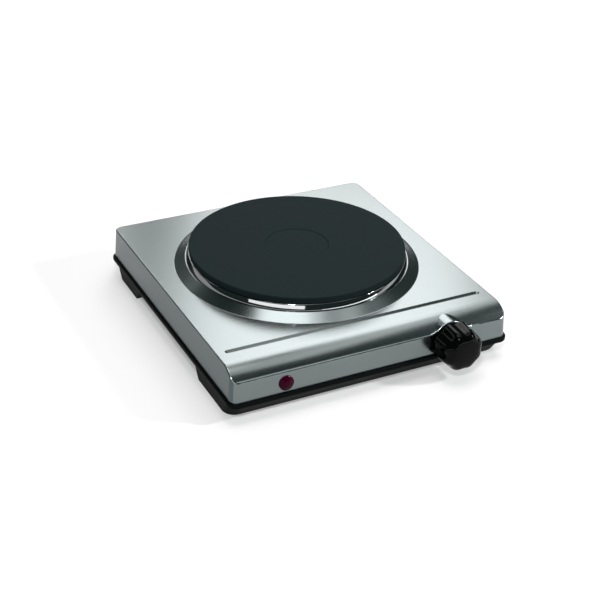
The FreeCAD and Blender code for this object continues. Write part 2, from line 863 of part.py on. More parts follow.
def insulating_compound():
    """Two rings of pressed mineral that fill the grooves round the coils."""
    z_roof = z_plate - plate_roof
    rings = []
    spans = [(hub_r, rib_inner_r, coil_inner), (rib_outer_r, groove_out_r, coil_outer)]
    base = plate_axis + UP * z_under
    for r_in, r_out, ring_r in spans:
        fill = tube(r_out - compound_play, r_in + compound_play, z_roof - z_under, base)
        rings.append(fill.cut(coil_body(ring_r, compound_play)))
    return Part.makeCompound(rings)


def plate_cover():
    """Sheet disc under the plate, pierced for the stud and the coil tails."""
    cover = rod(body_r - cover_r_in, cover_t, plate_axis + UP * z_cover)
    holes = [rod(stud_r + pass_play, cover_t, plate_axis + UP * z_cover)]
    for x, y in tail_places():
        holes.append(rod(tail_r + tail_play, cover_t, point(x, y, z_cover)))
    return cover.cut(holes)


def plate_terminal_block():
    """Ceramic block under the cover that carries the coil terminals."""
    ys = [y for _, y in tail_places()]
    x = tail_x + block_margin
    body = block(-x, x, min(ys) - block_margin, max(ys) + block_margin, z_cover - block_h, z_cover)
    upright = [edge for edge in body.Edges if edge.BoundBox.ZLength > block_h / 2]
    body = body.makeFillet(block_corner_r, upright)
    for x, y in tail_places():
        body = body.cut(rod(tail_r + tail_play / 2, block_h, point(x, y, z_cover - block_h)))
        body = body.cut(rod(pin_r + thread_play, pin_in, point(x, y, z_cover - block_h)))
    return body


def plate_terminals():
    """Four pins in the ceramic block."""
    pins = []
    for x, y in tail_places():
        pins.append(rod(pin_r, pin_in + pin_out, point(x, y, pin_top()), -UP))
    return Part.makeCompound(pins)


def centre_stud():
    length = stud_in_hub + z_under - z_nut + stud_past_nut
    return rod(stud_r, length, plate_axis + UP * (z_nut - stud_past_nut))


def clamp_bridge():
    """Joggled strip below the plate whose ends bear up under the housing's top."""
    z_end = z_top - sheet
    ends = collar_foot + bridge_bear
    inner = collar_foot - bridge_joggle
    right = [(inner, z_bridge), (collar_foot, z_end), (ends, z_end)]
    upper = [(-x, z) for x, z in reversed(right)] + right
    lower = [(x, z - bridge_t) for x, z in reversed(upper)]
    strip = prism_along(upper + lower, y_plate - bridge_w / 2, y_plate + bridge_w / 2)
    return strip.cut(rod(stud_r + pass_play, steel_h, plate_axis + UP * (z_bridge - steel_h / 2)))


def clamp_washer():
    z0 = z_bridge - bridge_t - washer_t
    return tube(washer_r, stud_r + thread_play, washer_t, plate_axis + UP * z0)


def heat_shield():
    """Shallow pan on four posts that throws the heat back up."""
    pan = rod(shield_r, shield_rim_h, plate_axis + UP * z_shield)
    pan = pan.cut(rod(shield_r - shield_t, shield_rim_h, plate_axis + UP * (z_shield + shield_t)))
    for x, y in post_places():
        pan = pan.cut(rod(small_r + pass_play, shield_t, point(x, y, z_shield)))
    return pan


def shield_screws():
    screws = []
    for x, y in post_places():
        seat = point(x, y, z_shield + shield_t)
        screws.append(screw(small_r, shield_screw_l, small_head_r, small_head_h, seat, -UP))
    return Part.makeCompound(screws)


def thermostat_body():
    """Ceramic body with its neck; the shaft runs in the bore."""
    half = thermostat_w / 2
    y1 = y_thermostat + thermostat_l
    z0 = z_axis - thermostat_h / 2
    body = block(knob_x - half, knob_x + half, y_thermostat, y1, z0, z0 + thermostat_h)
    long_edges = [edge for edge in body.Edges if edge.BoundBox.YLength > thermostat_l / 2]
    body = body.makeFillet(thermostat_edge_r, long_edges)
    neck = rod(neck_r, neck_l, point(knob_x, y_thermostat, z_axis), -BACK)
    body = body.fuse(neck)
    mouth = point(knob_x, y_thermostat - neck_l, z_axis)
    body = body.cut(rod(shaft_r + shaft_play, neck_l + shaft_in_body, mouth, BACK))
    for side in (-1, 1):
        start = point(knob_x + side * fix_spread, y_thermostat, z_axis)
        body = body.cut(rod(small_r + thread_play, fix_l - plate_leg_t, start, BACK))
        body = body.cut(tab(side, thread_play))
    return body


def tab(side, play):
    """Blade terminal at the back of the thermostat."""
    x = knob_x + side * tab_spread
    y0 = y_thermostat + thermostat_l - tab_in
    half_t = tab_t / 2 + play
    half_w = tab_w / 2 + play
    return block(x - half_t, x + half_t, y0, y0 + tab_in + tab_out, z_axis - half_w, z_axis + half_w)


def thermostat_bracket():
    """Bent plate that holds the thermostat up on two seats of the tray."""
    y0 = y_thermostat - plate_leg_t
    y_toe = y0 - plate_foot_l
    z_sole = z_seat + plate_leg_t
    z_head = z_axis + plate_leg_up
    section = [
        (y_toe, z_seat),
        (y_thermostat, z_seat),
        (y_thermostat, z_head),
        (y0, z_head),
        (y0, z_sole),
        (y_toe, z_sole),
    ]
    plate = prism_across(section, knob_x - thermostat_w / 2, knob_x + thermostat_w / 2)
    neck_room = rod(neck_r + neck_play, plate_foot_l + plate_leg_t, point(knob_x, y_toe, z_axis), BACK)
    plate = plate.cut(neck_room)
    for side in (-1, 1):
        start = point(knob_x + side * fix_spread, y0, z_axis)
        plate = plate.cut(rod(small_r + pass_play, plate_leg_t, start, BACK))
    for x, y in seat_places():
        plate = plate.cut(rod(small_r + pass_play, plate_leg_t, point(x, y, z_seat)))
    return plate


def thermostat_screws():
    screws = []
    for side in (-1, 1):
        seat = point(knob_x + side * fix_spread, y_thermostat - plate_leg_t, z_axis)
        screws.append(screw(small_r, fix_l, small_head_r, small_head_h, seat, BACK))
    return Part.makeCompound(screws)


def bracket_screws():
    screws = []
    for x, y in seat_places():
        seat = point(x, y, z_seat + plate_leg_t)
        screws.append(screw(small_r, seat_screw_l, small_head_r, small_head_h, seat, -UP))
    return Part.makeCompound(screws)


def shaft_front():
    """Y of the shaft's front end, against the end of the knob's bore."""
    return y_knob - bore_depth


def thermostat_shaft():
    """Turned shaft with a D flat along the length that the knob takes."""
    y1 = y_thermostat + shaft_in_body - shaft_play
    shaft = rod(shaft_r, y1 - shaft_front(), point(knob_x, shaft_front(), z_axis), BACK)
    z_flat = z_axis + shaft_r - flat_cut
    flat = block(knob_x - shaft_r, knob_x + shaft_r, shaft_front(), y_knob, z_flat, z_axis + shaft_r)
    return shaft.cut(flat)


def cap_middle(r, rise):
    """Point halfway along the arc of a ball's cap, as (radius, height over the rim)."""
    ball = (r ** 2 + rise ** 2) / (2 * rise)
    half = math.asin(r / ball) / 2
    return ball * math.sin(half), rise - ball * (1 - math.cos(half))


def knob_turning():
    """Turned envelope of the knob: rounded edge and domed front."""
    def at(r, out):
        return point(knob_x + r, y_knob - out, z_axis)

    rim = knob_h - knob_dome
    mid_r, mid_out = cap_middle(knob_r, knob_dome)
    section = Part.Wire([
        segment(at(0, 0), at(knob_r, 0)),
        segment(at(knob_r, 0), at(knob_r, rim)),
        arc(at(knob_r, rim), at(mid_r, rim + mid_out), at(0, knob_h)),
        segment(at(0, knob_h), at(0, 0)),
    ])
    body = Part.Face(section).revolve(point(knob_x, y_knob, z_axis), BACK, 360)
    front = [e for e in body.Edges if e.Closed and e.BoundBox.YMax < y_knob - rim / 2]
    return body.makeFillet(knob_edge_r, front)


def lobed_outline(r, deep, out):
    """Outline of the knob's lobes and finger flutes at a distance in front of its back."""
    count = lobe_points * knob_flutes
    points = []
    for k in range(count):
        angle = 2 * math.pi * k / count
        flute = math.sin(angle * knob_flutes / 2) ** 2
        turn = angle + math.radians(knob_phase)
        reach = r - deep * flute
        points.append(point(knob_x + reach * math.cos(turn), y_knob - out, z_axis + reach * math.sin(turn)))
    curve = Part.BSplineCurve()
    curve.interpolate(points, PeriodicFlag=True)
    return Part.Wire([curve.toShape()])


def knob():
    """Lobed knob with a domed front, hollow back and a hub with a D bore."""
    side_r = knob_r - touch
    foot = lobed_outline(side_r, knob_flute_depth, 0)
    head = lobed_outline(side_r - knob_taper, knob_flute_end, knob_h)
    lobes = Part.makeLoft([foot, head], True, True)
    body = lobes.common(knob_turning())
    scallop = [e for e in body.Edges if e.BoundBox.YMax < y_knob - touch and e.BoundBox.YLength > touch]
    body = body.makeFillet(knob_scallop_r, scallop)
    hub_out = shaft_r + hub_wall
    back_r = knob_r - knob_flute_depth - knob_taper - knob_wall
    back = point(knob_x, y_knob, z_axis)
    hollow = tube(back_r, hub_out, knob_hollow, back, -BACK)
    body = body.cut(hollow)
    bore = rod(shaft_r + shaft_play, bore_depth, back, -BACK)
    z_flat = z_axis + shaft_r - flat_cut + clip_t
    keep = block(knob_x - hub_out, knob_x + hub_out, shaft_front(), y_knob, z_flat, z_axis + hub_out)
    return body.cut(bore.cut(keep))


def knob_clip():
    """Leaf spring between the shaft's flat and the knob's hub."""
    z_flat = z_axis + shaft_r - flat_cut
    half = clip_w / 2
    return block(knob_x - half, knob_x + half, shaft_front() + clip_t, y_knob, z_flat, z_flat + clip_t)


def indicator_lens():
    """Red lens: dome outside, hollow stem through the fascia."""
    def at(r, z):
        return V(r, 0, z)

    high = lens_rim_h + lens_dome_h
    inner = lens_stem_r - lens_stem_wall
    bow_r, bow_up = cap_middle(lens_r, lens_dome_h)
    bow = at(bow_r, lens_rim_h + bow_up)
    section = Part.Wire([
        segment(at(inner, -lens_stem_l), at(lens_stem_r, -lens_stem_l)),
        segment(at(lens_stem_r, -lens_stem_l), at(lens_stem_r, 0)),
        segment(at(lens_stem_r, 0), at(lens_r, 0)),
        segment(at(lens_r, 0), at(lens_r, lens_rim_h)),
        arc(at(lens_r, lens_rim_h), bow, at(0, high)),
        segment(at(0, high), at(0, lens_rim_h)),
        segment(at(0, lens_rim_h), at(inner, lens_rim_h)),
        segment(at(inner, lens_rim_h), at(inner, -lens_stem_l)),
    ])
    lens = Part.Face(section).revolve(V(0, 0, 0), UP, 360)
    return on_wall(lens, lens_x, z_lens, -1)


def neon_lamp():
    """Small glass lamp pushed up into the lens."""
    r = lens_stem_r - lens_stem_wall - lamp_play
    top = lens_rim_h - lamp_play
    tip = Part.makeSphere(r, V(0, 0, top - r))
    bulb = rod(r, lamp_l - r, V(0, 0, top - lamp_l)).fuse(tip).removeSplitter()
    return on_wall(bulb, lens_x, z_lens, -1)


def lens_clip():
    """Spring washer behind the fascia that grips the stem."""
    base = V(0, 0, -wall_thickness() - lens_clip_t)
    washer = tube(lens_clip_r, lens_stem_r + thread_play, lens_clip_t, base)
    return on_wall(washer, lens_x, z_lens, -1)


def wall_thickness():
    """Housing wall measured square to its face."""
    return sheet * math.cos(math.radians(wall_tilt))


def cable_bush():
    """Gland in the rear wall: flange outside, neck, and barb that snaps in behind the sheet."""
    behind = -wall_thickness() - bush_play
    parts = [
        rod(bush_flange_r, bush_flange_t, V(0, 0, 0)),
        rod(bush_neck_r, -behind, V(0, 0, behind)),
        Part.makeCone(bush_neck_r, bush_barb_r, bush_barb_l, V(0, 0, behind - bush_barb_l)),
    ]
    body = parts[0].fuse(parts[1:]).removeSplitter()
    lips = [edge for edge in body.Edges if edge.Closed and edge.CenterOfMass.z > bush_flange_t / 2]
    body = body.makeFillet(bush_edge_r, lips)
    reach = bush_flange_t + bush_barb_l - behind
    body = body.cut(rod(bush_bore_r, reach, V(0, 0, behind - bush_barb_l)))
    return on_wall(body, bush_x, z_steel + bush_up, 1)


def strip_body():
    """Stepped section of the strip, carried along its wires."""
    y0 = inward(1, strip_in) - strip_l / 2
    half = strip_w / 2
    z_step = z_strip + strip_step_h
    inner = half - strip_step_w
    right = [(half, z_strip), (half, z_step), (inner, z_step), (inner, z_strip + strip_h)]
    section = right + [(-x, z) for x, z in reversed(right)]
    return prism_along([(strip_x + x, z) for x, z in section], y0, y0 + strip_l)


def pole_xs():
    return [strip_x + (k - (pole_count - 1) / 2) * pole_pitch for k in range(pole_count)]


def mains_strip():
    """Three-pole terminal strip on the tray."""
    y0 = inward(1, strip_in) - strip_l / 2
    z = z_strip + strip_h / 2
    body = strip_body()
    for x in pole_xs():
        body = body.cut(rod(pole_r + thread_play, strip_l, point(x, y0, z), BACK))
        for y in (y0 + pole_screw_in, y0 + strip_l - pole_screw_in):
            body = body.cut(rod(pole_hole_r, strip_h, point(x, y, z)))
    for x, y in strip_places():
        body = body.cut(rod(small_r + pass_play, strip_step_h, point(x, y, z_strip)))
    return body


def strip_terminals():
    """Brass barrels in the strip."""
    y0 = inward(1, strip_in) - strip_l / 2
    z = z_strip + strip_h / 2
    return Part.makeCompound([tube(pole_r, pole_hole_r, strip_l, point(x, y0, z), BACK) for x in pole_xs()])


def strip_screws():
    screws = []
    for x, y in strip_places():
        seat = point(x, y, z_strip + strip_step_h)
        screws.append(screw(small_r, strip_step_h + strip_seat_h, small_head_r, small_head_h, seat, -UP))
    return Part.makeCompound(screws)


def base_screws():
    screws = []
    for _, side, end in ends_and_sides():
        x, y = base_screw_place(side, end)
        seat = z_lip + base_screw_seat
        length = z_bracket + 2 * bracket_t - seat
        screws.append(screw(tapping_r, length, tapping_head_r, tapping_head_h, point(x, y, seat), UP))
    return Part.makeCompound(screws)


def foot_screws():
    screws = []
    for _, side, end in ends_and_sides():
        x, y = foot_screw_place(side, end)
        seat = point(x, y, foot_seat())
        length = z_floor + rim_h / 2 - seat.z
        screws.append(screw(tapping_r, length, tapping_head_r, tapping_head_h, seat, UP))
    return Part.makeCompound(screws)


nodes = {
    "top_housing": top_housing(),
    "base_tray": base_tray(),
    "front_foot": foot_rail(-1, front_foot_l),
    "rear_foot": foot_rail(1, rear_foot_l),
    "hot_plate": hot_plate(),
    "spill_ring": spill_ring(),
    "heating_coil_outer": coil_body(coil_outer, 0),
    "heating_coil_inner": coil_body(coil_inner, 0),
    "insulating_compound": insulating_compound(),
    "plate_cover": plate_cover(),
    "plate_terminal_block": plate_terminal_block(),
    "plate_terminals": plate_terminals(),
    "centre_stud": centre_stud(),
    "cover_nut": hex_nut(jam_nut_h, z_cover - jam_nut_h),
    "clamp_bridge": clamp_bridge(),
    "clamp_washer": clamp_washer(),
    "clamp_nut": hex_nut(nut_h, z_nut),
    "heat_shield": heat_shield(),
    "shield_screws": shield_screws(),
    "thermostat_body": thermostat_body(),
    "thermostat_tabs": Part.makeCompound([tab(-1, 0), tab(1, 0)]),
    "thermostat_bracket": thermostat_bracket(),
    "thermostat_screws": thermostat_screws(),
    "bracket_screws": bracket_screws(),
    "thermostat_shaft": thermostat_shaft(),
    "knob": knob(),
    "knob_clip": knob_clip(),
    "indicator_lens": indicator_lens(),
    "neon_lamp": neon_lamp(),
    "lens_clip": lens_clip(),
    "cable_bush": cable_bush(),
    "mains_strip": mains_strip(),
    "strip_terminals": strip_terminals(),
    "strip_screws": strip_screws(),
    "earth_screw": earth_screw(),
    "base_screws": base_screws(),
    "foot_screws": foot_screws(),
}
for name, side, end in ends_and_sides():
    nodes["foot_pad_" + name] = foot_pad(side, end)
    nodes["housing_bracket_" + name] = housing_bracket(side, end)

os.makedirs("parts", exist_ok=True)
for name, shape in nodes.items():
    shape.exportStep("parts/" + name + ".step")
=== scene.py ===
import math

import bmesh
import bpy
from mathutils import Matrix, Vector


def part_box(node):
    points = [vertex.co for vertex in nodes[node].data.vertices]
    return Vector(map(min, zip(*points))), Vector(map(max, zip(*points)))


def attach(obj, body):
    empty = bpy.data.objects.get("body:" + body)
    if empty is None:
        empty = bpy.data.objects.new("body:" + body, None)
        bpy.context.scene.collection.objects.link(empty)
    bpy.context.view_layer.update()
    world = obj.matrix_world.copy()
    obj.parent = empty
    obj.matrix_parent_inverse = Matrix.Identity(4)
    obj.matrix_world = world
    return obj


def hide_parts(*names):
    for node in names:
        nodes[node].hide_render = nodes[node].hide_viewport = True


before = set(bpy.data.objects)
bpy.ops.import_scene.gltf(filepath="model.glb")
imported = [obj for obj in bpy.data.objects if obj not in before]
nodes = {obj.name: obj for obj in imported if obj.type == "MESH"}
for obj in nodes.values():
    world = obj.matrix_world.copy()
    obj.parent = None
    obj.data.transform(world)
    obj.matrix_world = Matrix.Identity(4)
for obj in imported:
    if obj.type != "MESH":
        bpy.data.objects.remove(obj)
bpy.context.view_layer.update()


# Foot pads: four soft buttons pressed into the foot rails so that the burner doesn't slide.
# They are moulded in black nitrile rubber, as is the bush that guards the hole in the rear wall.
MM = 0.001
# Most heights of a noise pattern lie between these two.
NOISE_LOW, NOISE_HIGH = 0.3, 0.7
GRAIN_DETAIL, GRAIN_CONTRAST = 3.0, 0.6
# Sockets of a mix node go by number, because their names repeat.
FACTOR, VECTOR_A, VECTOR_B, COLOUR_A, COLOUR_B = 0, 4, 5, 6, 7
VECTOR_OUT, COLOUR_OUT = 1, 2


def linear(code):
    """Linear colour of an sRGB hex code."""
    parts = [int(code[k:k + 2], 16) / 255 for k in (1, 3, 5)]
    return tuple(c / 12.92 if c <= 0.04045 else ((c + 0.055) / 1.055) ** 2.4 for c in parts) + (1.0,)


def add(tree, kind, inputs=None, **settings):
    """New node with its settings; inputs holds plain values and sockets to link from."""
    made = tree.nodes.new(kind)
    for key, value in settings.items():
        setattr(made, key, value)
    for key, value in (inputs or {}).items():
        if isinstance(value, bpy.types.NodeSocket):
            tree.links.new(value, made.inputs[key])
        else:
            made.inputs[key].default_value = value
    return made


def blank(name, metallic=0.0, specular=0.5):
    """Material with one principled shader, its tree and its Object coordinates."""
    material = bpy.data.materials.new(name)
    material.use_nodes = True
    tree = material.node_tree
    shader = tree.nodes["Principled BSDF"]
    shader.inputs["Metallic"].default_value = metallic
    shader.inputs["Specular IOR Level"].default_value = specular
    coordinates = add(tree, "ShaderNodeTexCoord")
    return material, tree, shader, coordinates.outputs["Object"]


def surface(tree, shader, height, shades, roughness, relief_mm):
    """Let a height pattern of 0 to 1 set colour between two shades, roughness and relief."""
    level = add(
        tree, "ShaderNodeMapRange", {"Value": height, "From Min": NOISE_LOW, "From Max": NOISE_HIGH},
    )
    shade = add(
        tree, "ShaderNodeMix",
        {FACTOR: level.outputs[0], COLOUR_A: linear(shades[0]), COLOUR_B: linear(shades[1])},
        data_type="RGBA",
    )
    polish = add(
        tree, "ShaderNodeMapRange",
        {"Value": level.outputs[0], "To Min": roughness[0], "To Max": roughness[1]},
    )
    bump = add(tree, "ShaderNodeBump", {"Height": height, "Strength": 1.0, "Distance": relief_mm * MM})
    tree.links.new(shade.outputs[COLOUR_OUT], shader.inputs["Base Color"])
    tree.links.new(polish.outputs[0], shader.inputs["Roughness"])
    tree.links.new(bump.outputs[0], shader.inputs["Normal"])


def grained(name, shades, roughness, grain_mm, relief_mm, metallic=0.0, specular=0.5):
    """Material with an even grain, whose width and depth are given in millimetres."""
    material, tree, shader, place = blank(name, metallic, specular)
    noise = add(
        tree, "ShaderNodeTexNoise",
        {
            "Vector": place, "Scale": 1 / (grain_mm * MM), "Detail": GRAIN_DETAIL,
            "Roughness": GRAIN_CONTRAST,
        },
    )
    surface(tree, shader, noise.outputs[0], shades, roughness, relief_mm)
    return material


def dress(material, *names):
    """Give CAD nodes a material."""
    for name in names:
        for slot in nodes[name].material_slots:
            slot.material = material


# Moulded rubber: dull and grey-black, with a fine bloom that breaks up any gloss.
rubber = grained(
    "moulded_nitrile_rubber", shades=("#0d0e0e", "#161717"), roughness=(0.7, 0.9),
    grain_mm=0.5, relief_mm=0.02, specular=0.3,
)
dress(rubber, "foot_pad_fl", "foot_pad_fr", "foot_pad_rl", "foot_pad_rr", "cable_bush")


# Foot rails and tray: injection mouldings in black polypropylene, screwed together.
# The rails carry the burner front and back, and the tray's lip shows as a dark line under the steel.
# Spark-eroded tools leave a satin grain of about 0.3 mm, drawn at 0.8 mm so that it shows.
polypropylene = grained(
    "spark_grained_polypropylene", shades=("#020404", "#050808"), roughness=(0.42, 0.58),
    grain_mm=0.8, relief_mm=0.03, specular=0.04,
)
dress(polypropylene, "front_foot", "rear_foot", "base_tray")


# Screws, nuts, brackets and clips: pressed and turned mild steel, bright zinc plated.
# They hold rails, tray, housing, plate and control together, and none shows from above.
# Plating gives a cool, slightly mottled silver.
zinc = grained(
    "zinc_plated_steel", shades=("#9a9ea0", "#b8bbbd"), roughness=(0.3, 0.46),
    grain_mm=1.2, relief_mm=0.006, metallic=1.0,
)
dress(
    zinc, "foot_screws", "base_screws", "earth_screw", "strip_screws", "shield_screws", "thermostat_screws",
    "bracket_screws", "housing_bracket_fl", "housing_bracket_fr", "housing_bracket_rl", "housing_bracket_rr",
    "clamp_bridge", "clamp_washer", "clamp_nut", "cover_nut", "centre_stud", "thermostat_bracket",
    "thermostat_shaft", "knob_clip", "lens_clip",
)


# Mains strip: a nylon block on the tray's floor with brass terminals, where the supply is joined.
# Moulded nylon is a milky off-white with a soft gloss; drawn brass has a warm satin face.
nylon = grained(
    "moulded_nylon", shades=("#cfccc0", "#dedbd0"), roughness=(0.35, 0.5), grain_mm=1.0, relief_mm=0.01,
)
brass = grained(
    "drawn_brass", shades=("#a8843f", "#c09c55"), roughness=(0.28, 0.42),
    grain_mm=0.8, relief_mm=0.004, metallic=1.0,
)
dress(nylon, "mains_strip")
dress(brass, "strip_terminals", "thermostat_tabs", "plate_terminals")


# Thermostat: the control behind the knob, in a pressed phenolic case on a plated bracket.
# Filled phenolic is a brown-black with a fine fleck of wood flour.
filled_phenolic = grained(
    "pressed_phenolic", shades=("#1b130e", "#2b2019"), roughness=(0.4, 0.6), grain_mm=0.6, relief_mm=0.01,
)
dress(filled_phenolic, "thermostat_body")


# Housing: one deep-drawn shell of stainless sheet with a rolled front shoulder, fascia and collar.
# The sheet is ground with a belt before it is drawn, so its grain runs side to side on top, shoulder
# and fascia and straight down on the two side walls, and the spun collar has it round the plate.
# Belt-ground steel: cool grey, and it smears what it mirrors across the grain. Real scratches are
# about 0.1 mm apart, and they are drawn at 0.6 mm so that they show. The side walls are painted a
# darker grey: a painted shade for the dimly lit floor that they mirror.
STREAK = 0.6
STREAK_STRETCH = 0.012
STREAK_DETAIL, STREAK_CONTRAST = 4.0, 0.65
SPUN_FAINT = 0.12
SMEAR = 0.7
# Painted shade: darker base colour for the two side walls.
SIDE_WALL_PAINTED_SHADE = "#555e5e"
SIDE_FACING = 0.7
COLLAR_FOOT = 45.0
SIDE_TO_SIDE, UPWARD = (1, 0, 0), (0, 0, 1)
plate_low, plate_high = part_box("hot_plate")
plate_axis = (plate_low + plate_high) / 2
satin_steel, tree, shader, place = blank("belt_ground_stainless_steel", metallic=1.0)
spot = add(tree, "ShaderNodeSeparateXYZ", {0: place})
geometry = add(tree, "ShaderNodeNewGeometry")
normal = geometry.outputs["Normal"]
facing = add(tree, "ShaderNodeSeparateXYZ", {0: normal})
sideways = add(tree, "ShaderNodeMath", {0: facing.outputs["X"]}, operation="ABSOLUTE")
not_side = add(tree, "ShaderNodeMath", {0: sideways.outputs[0], 1: SIDE_FACING}, operation="LESS_THAN")
fall = add(tree, "ShaderNodeMath", {0: spot.outputs["Z"], 1: not_side.outputs[0]}, operation="MULTIPLY")
across = add(tree, "ShaderNodeMath", {0: spot.outputs["Y"], 1: fall.outputs[0]}, operation="ADD")
along = add(tree, "ShaderNodeMath", {0: spot.outputs["X"], 1: STREAK_STRETCH}, operation="MULTIPLY")
ground = add(tree, "ShaderNodeCombineXYZ", {"X": along.outputs[0], "Y": across.outputs[0]})
from_axis = add(
    tree, "ShaderNodeVectorMath", {0: place, 1: (plate_axis.x, plate_axis.y, 0)}, operation="SUBTRACT",
)
off_axis = add(tree, "ShaderNodeVectorMath", {0: from_axis.outputs[0]}, operation="LENGTH")
faint = add(tree, "ShaderNodeMath", {0: off_axis.outputs["Value"], 1: SPUN_FAINT}, operation="MULTIPLY")
spun = add(tree, "ShaderNodeCombineXYZ", {"Y": faint.outputs[0]})
on_collar = add(
    tree, "ShaderNodeMath", {0: spot.outputs["Z"], 1: COLLAR_FOOT * MM}, operation="GREATER_THAN",
)
lay = add(
    tree, "ShaderNodeMix",
    {FACTOR: on_collar.outputs[0], VECTOR_A: ground.outputs[0], VECTOR_B: spun.outputs[0]},
    data_type="VECTOR",
)
streaks = add(
    tree, "ShaderNodeTexNoise",
    {
        "Vector": lay.outputs[VECTOR_OUT], "Scale": 1 / (STREAK * MM), "Detail": STREAK_DETAIL,
        "Roughness": STREAK_CONTRAST,
    },
)
surface(
    tree, shader, streaks.outputs[0], shades=("#6e7676", "#747c7c"), roughness=(0.2, 0.26), relief_mm=0.003,
)
sheet_grain = add(
    tree, "ShaderNodeMix", {FACTOR: not_side.outputs[0], VECTOR_A: UPWARD, VECTOR_B: SIDE_TO_SIDE},
    data_type="VECTOR",
)
spun_grain = add(
    tree, "ShaderNodeVectorMath", {0: UPWARD, 1: from_axis.outputs[0]}, operation="CROSS_PRODUCT",
)
grain = add(
    tree, "ShaderNodeMix",
    {
        FACTOR: on_collar.outputs[0], VECTOR_A: sheet_grain.outputs[VECTOR_OUT],
        VECTOR_B: spun_grain.outputs[0],
    },
    data_type="VECTOR",
)
over_grain = add(
    tree, "ShaderNodeVectorMath", {0: normal, 1: grain.outputs[VECTOR_OUT]}, operation="CROSS_PRODUCT",
)
tangent = add(tree, "ShaderNodeVectorMath", {0: over_grain.outputs[0]}, operation="NORMALIZE")
shader.inputs["Anisotropic"].default_value = SMEAR
tree.links.new(tangent.outputs[0], shader.inputs["Tangent"])
# Painted shade: the side walls get the darker colour in place of the streaked steel colour.
bright = shader.inputs["Base Color"].links[0].from_socket
painted_side_shade = add(
    tree, "ShaderNodeMix",
    {FACTOR: not_side.outputs[0], COLOUR_A: linear(SIDE_WALL_PAINTED_SHADE), COLOUR_B: bright}, data_type="RGBA",
)
tree.links.new(painted_side_shade.outputs[COLOUR_OUT], shader.inputs["Base Color"])
dress(satin_steel, "top_housing")


# Heat shield and plate cover: dished discs of aluminised sheet that keep the heat up in the plate.
# Hot-dipped aluminium is pale and matte with a faint spangle.
aluminised = grained(
    "aluminised_sheet", shades=("#a2a5a6", "#bcbfc0"), roughness=(0.36, 0.55),
    grain_mm=4.0, relief_mm=0.006, metallic=1.0,
)
dress(aluminised, "heat_shield", "plate_cover")


# Inside of the plate: coiled resistance wire bedded in pressed magnesia, and a steatite block
# whose pins bring the two coils out through the cover.
# Fired wire has a dull brown-grey oxide, magnesia is a chalky grey and steatite a cream bisque.
fired_wire = grained(
    "oxidised_resistance_wire", shades=("#3d3733", "#57504a"), roughness=(0.5, 0.7),
    grain_mm=0.5, relief_mm=0.01, metallic=1.0,
)
magnesia = grained(
    "pressed_magnesia", shades=("#8f8a80", "#a9a499"), roughness=(0.85, 1.0),
    grain_mm=0.9, relief_mm=0.05, specular=0.2,
)
steatite = grained(
    "fired_steatite", shades=("#d3cab6", "#e0d8c6"), roughness=(0.5, 0.65), grain_mm=0.6, relief_mm=0.01,
)
dress(fired_wire, "heating_coil_outer", "heating_coil_inner")
dress(magnesia, "insulating_compound")
dress(steatite, "plate_terminal_block")


# Plate: grey cast iron, turned on its face and edge, and coated with a heat-proof matte black.
# The coating keeps a trace of the turning, rings about 0.4 mm apart that are drawn at 1.5 mm,
# over the fine sand grain of the casting.
TURNING = 1.5
TURNING_WEIGHT = 0.12
TURNING_WOBBLE, TURNING_DETAIL = 0.6, 1.0
SAND = 1.1
SAND_DETAIL = 3.0
# A wave pattern of scale 1 repeats 20 times in 2 pi units.
WAVES_IN_TURN = 20
coated_iron, tree, shader, place = blank("coated_cast_iron", specular=0.06)
centred = add(
    tree, "ShaderNodeMapping", {"Vector": place, "Location": (-plate_axis.x, -plate_axis.y, 0)},
)
rings = add(
    tree, "ShaderNodeTexWave",
    {
        "Vector": centred.outputs[0], "Scale": 2 * math.pi / (WAVES_IN_TURN * TURNING * MM),
        "Distortion": TURNING_WOBBLE, "Detail": TURNING_DETAIL,
    },
    wave_type="RINGS", rings_direction="Z",
)
sand = add(
    tree, "ShaderNodeTexNoise", {"Vector": place, "Scale": 1 / (SAND * MM), "Detail": SAND_DETAIL},
)
skin = add(
    tree, "ShaderNodeMath", {0: rings.outputs["Fac"], 1: TURNING_WEIGHT, 2: sand.outputs[0]},
    operation="MULTIPLY_ADD",
)
surface(
    tree, shader, skin.outputs[0], shades=("#0f1919", "#151f20"), roughness=(0.68, 0.85), relief_mm=0.02,
)
dress(coated_iron, "hot_plate")


# Spill ring: a spun strip of thin stainless that closes the gap between plate and collar.
# Its flange is held under the plate's overhang, and its wall bows a little as it flares to its foot.
RING_SHEET = 0.7
RING_STEPS = 96
RING_ROUNDING = 2
MERGE_GAP = 0.01
# Radius and height of each corner of the strip, from the flange to the foot.
ring_profile = [
    (86.4, 55.5), (90.6, 55.5), (92.6, 55.5), (93.0, 55.25), (93.25, 54.7), (94.3, 52.1), (95.0, 49.9),
]
ring_mesh = bmesh.new()
corners = [
    ring_mesh.verts.new((plate_axis.x + radius * MM, plate_axis.y, height * MM))
    for radius, height in ring_profile
]
strip = [ring_mesh.edges.new(pair) for pair in zip(corners, corners[1:])]
bmesh.ops.spin(
    ring_mesh, geom=corners + strip, cent=(plate_axis.x, plate_axis.y, 0), axis=(0, 0, 1),
    angle=2 * math.pi, steps=RING_STEPS, use_merge=True,
)
bmesh.ops.remove_doubles(ring_mesh, verts=ring_mesh.verts, dist=MERGE_GAP * MM)
bmesh.ops.recalc_face_normals(ring_mesh, faces=ring_mesh.faces)


def piece(name, mesh, material, smooth=True):
    """Finished object from a bmesh, with its material."""
    data = bpy.data.meshes.new(name)
    mesh.to_mesh(data)
    mesh.free()
    data.materials.append(material)
    for face in data.polygons:
        face.use_smooth = smooth
    made = bpy.data.objects.new(name, data)
    bpy.context.scene.collection.objects.link(made)
    return made


def round_off(target, levels):
    """Subdivide a piece, as finely on the screen as in the render."""
    rounding = target.modifiers.new("round", "SUBSURF")
    rounding.levels = levels
    rounding.render_levels = levels


